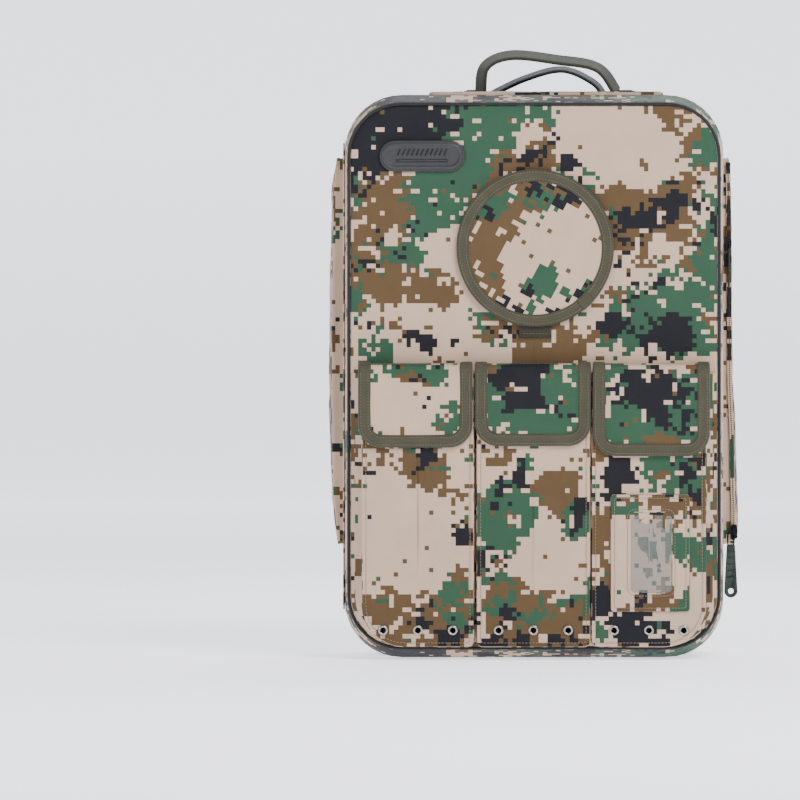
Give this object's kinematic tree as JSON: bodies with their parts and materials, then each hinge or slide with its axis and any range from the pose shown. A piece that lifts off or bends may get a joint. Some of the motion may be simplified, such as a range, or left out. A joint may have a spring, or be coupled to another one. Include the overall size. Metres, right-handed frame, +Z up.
{
  "type": "trauma backpack",
  "caption": "Camouflage first responder backpack with a zipped front lid, flapped pockets, a round emblem cover, carry handles, side pouches and padded shoulder straps.",
  "frame": {"origin": "middle of the base, on the surface that the pack stands on, midway between its sides", "axes": "+X to the pack's right as seen from the front, -Y out of the front lid, +Z up"},
  "size_m": [0.3562, 0.2066, 0.5277],
  "materials": {
    "camo_fabric": "coated nylon with a square-cell woodland print, faint sheen",
    "olive_webbing": "flat woven nylon webbing",
    "olive_binding": "grosgrain binding with two stitch rows",
    "black_piping": "cord-filled woven piping",
    "zip_tape": "woven zip tape with a moulded coil",
    "spacer_mesh": "open air mesh over foam",
    "frame_plastic": "lightly textured stiffener sheet",
    "buckle_plastic": "fine spark-eroded texture",
    "slider_metal": "black enamelled zinc, worn at the edges",
    "pull_green": "soft moulded grip on a wire link",
    "eyelet_nickel": "pressed nickel-plated brass, lightly scratched",
    "badge_rubber": "matt moulded rubber",
    "clear_film": "clear flexible film, slightly cloudy"
  },
  "bodies": {
    "pack": {"rear_shell": "camo_fabric", "frame_sheet": "frame_plastic", "back_pad": "spacer_mesh", "rear_zip_tape": "zip_tape", "lid_hinge_gusset": "zip_tape", "top_panel": "camo_fabric", "strap_yoke": "spacer_mesh", "anchor_left": "camo_fabric", "anchor_right": "camo_fabric", "lower_webbing_left": "olive_webbing", "lower_webbing_right": "olive_webbing", "side_pouch_left": "camo_fabric", "side_pouch_right": "camo_fabric", "side_zip_left": "zip_tape", "side_zip_right": "zip_tape"},
    "lid": {"lid_shell": "camo_fabric", "front_piping": "black_piping", "lid_zip_tape": "zip_tape", "pocket_left": "camo_fabric", "pocket_middle": "camo_fabric", "pocket_right": "camo_fabric", "eyelet_left_1": "eyelet_nickel", "eyelet_left_2": "eyelet_nickel", "eyelet_left_3": "eyelet_nickel", "eyelet_middle_1": "eyelet_nickel", "eyelet_middle_2": "eyelet_nickel", "eyelet_middle_3": "eyelet_nickel", "eyelet_right_1": "eyelet_nickel", "eyelet_right_2": "eyelet_nickel", "eyelet_right_3": "eyelet_nickel", "badge": "badge_rubber", "id_frame": "camo_fabric", "id_window": "clear_film"},
    "flap_left": {"flap_left": "camo_fabric", "flap_left_binding": "olive_binding"},
    "flap_middle": {"flap_middle": "camo_fabric", "flap_middle_binding": "olive_binding"},
    "flap_right": {"flap_right": "camo_fabric", "flap_right_binding": "olive_binding"},
    "emblem_cover": {"cover_disc": "camo_fabric", "cover_binding": "olive_binding", "cover_tab": "olive_webbing"},
    "handle_front": {"handle_front": "olive_webbing"},
    "handle_rear": {"handle_rear": "olive_webbing"},
    "main_upper_slider": {"main_upper_slider": "slider_metal"},
    "main_upper_pull": {"main_upper_pull": "pull_green"},
    "main_lower_slider": {"main_lower_slider": "slider_metal"},
    "main_lower_pull": {"main_lower_pull": "pull_green"},
    "side_right_slider": {"side_right_slider": "slider_metal"},
    "side_right_pull": {"side_right_pull": "pull_green"},
    "side_left_slider": {"side_left_slider": "slider_metal"},
    "side_left_pull": {"side_left_pull": "pull_green"},
    "strap_left": {"strap_pad_left": "spacer_mesh", "ladder_lock_left": "buckle_plastic"},
    "sternum_left": {"sternum_webbing_left": "olive_webbing", "sternum_buckle_left": "buckle_plastic"},
    "strap_right": {"strap_pad_right": "spacer_mesh", "ladder_lock_right": "buckle_plastic"},
    "sternum_right": {"sternum_webbing_right": "olive_webbing", "sternum_buckle_right": "buckle_plastic"}
  },
  "joints": [
    {"name": "lid_hinge", "type": "hinge", "parent": "pack", "child": "lid", "pos_m": [-0.165, -0.0415, 0.245], "axis": [0, 0, -1], "range_deg": [0, 140]},
    {"name": "flap_left_hinge", "type": "hinge", "parent": "lid", "child": "flap_left", "pos_m": [-0.1022, -0.0905, 0.254], "axis": [-1, 0, 0], "range_deg": [0, 150]},
    {"name": "flap_middle_hinge", "type": "hinge", "parent": "lid", "child": "flap_middle", "pos_m": [-0.001, -0.0905, 0.254], "axis": [-1, 0, 0], "range_deg": [0, 150]},
    {"name": "flap_right_hinge", "type": "hinge", "parent": "lid", "child": "flap_right", "pos_m": [0.101, -0.0905, 0.254], "axis": [-1, 0, 0], "range_deg": [0, 150]},
    {"name": "emblem_cover_hinge", "type": "hinge", "parent": "lid", "child": "emblem_cover", "pos_m": [0.001, -0.0849, 0.4245], "axis": [-1, 0, 0], "range_deg": [0, 150]},
    {"name": "handle_front_hinge", "type": "hinge", "parent": "pack", "child": "handle_front", "pos_m": [0.0135, -0.0265, 0.4937], "axis": [1, 0, 0], "range_deg": [0, 80]},
    {"name": "handle_rear_hinge", "type": "hinge", "parent": "pack", "child": "handle_rear", "pos_m": [0.0105, 0.045, 0.4937], "axis": [-1, 0, 0], "range_deg": [0, 80]},
    {"name": "main_upper_slide", "type": "slide", "parent": "pack", "child": "main_upper_slider", "axis": [0, 0, 1], "range_m": [0, 0.075]},
    {"name": "main_upper_pull_hinge", "type": "hinge", "parent": "main_upper_slider", "child": "main_upper_pull", "pos_m": [0.1698, -0.0415, 0.361], "axis": [0, -1, 0], "range_deg": [0, 150]},
    {"name": "main_lower_slide", "type": "slide", "parent": "pack", "child": "main_lower_slider", "axis": [0, 0, 1], "range_m": [-0.285, 0]},
    {"name": "main_lower_pull_hinge", "type": "hinge", "parent": "main_lower_slider", "child": "main_lower_pull", "pos_m": [0.1698, -0.0415, 0.347], "axis": [0, -1, 0], "range_deg": [0, 150]},
    {"name": "side_right_slide", "type": "slide", "parent": "pack", "child": "side_right_slider", "axis": [0, 0, 1], "range_m": [0, 0.3]},
    {"name": "side_right_pull_hinge", "type": "hinge", "parent": "side_right_slider", "child": "side_right_pull", "pos_m": [0.175, -0.0247, 0.11], "axis": [-1, 0, 0], "range_deg": [0, 110]},
    {"name": "side_left_slide", "type": "slide", "parent": "pack", "child": "side_left_slider", "axis": [0, 0, 1], "range_m": [-0.3, 0]},
    {"name": "side_left_pull_hinge", "type": "hinge", "parent": "side_left_slider", "child": "side_left_pull", "pos_m": [-0.175, 0.0667, 0.412], "axis": [1, 0, 0], "range_deg": [0, 110]},
    {"name": "strap_left_hinge", "type": "hinge", "parent": "pack", "child": "strap_left", "pos_m": [-0.045, 0.092, 0.4385], "axis": [1, 0, 0], "range_deg": [0, 15]},
    {"name": "sternum_left_hinge", "type": "hinge", "parent": "strap_left", "child": "sternum_left", "pos_m": [-0.059, 0.0998, 0.36], "axis": [0, -1, 0], "range_deg": [0, 90]},
    {"name": "strap_right_hinge", "type": "hinge", "parent": "pack", "child": "strap_right", "pos_m": [0.045, 0.092, 0.4385], "axis": [1, 0, 0], "range_deg": [0, 15]},
    {"name": "sternum_right_hinge", "type": "hinge", "parent": "strap_right", "child": "sternum_right", "pos_m": [0.059, 0.0998, 0.36], "axis": [0, 1, 0], "range_deg": [0, 90]}
  ]
}
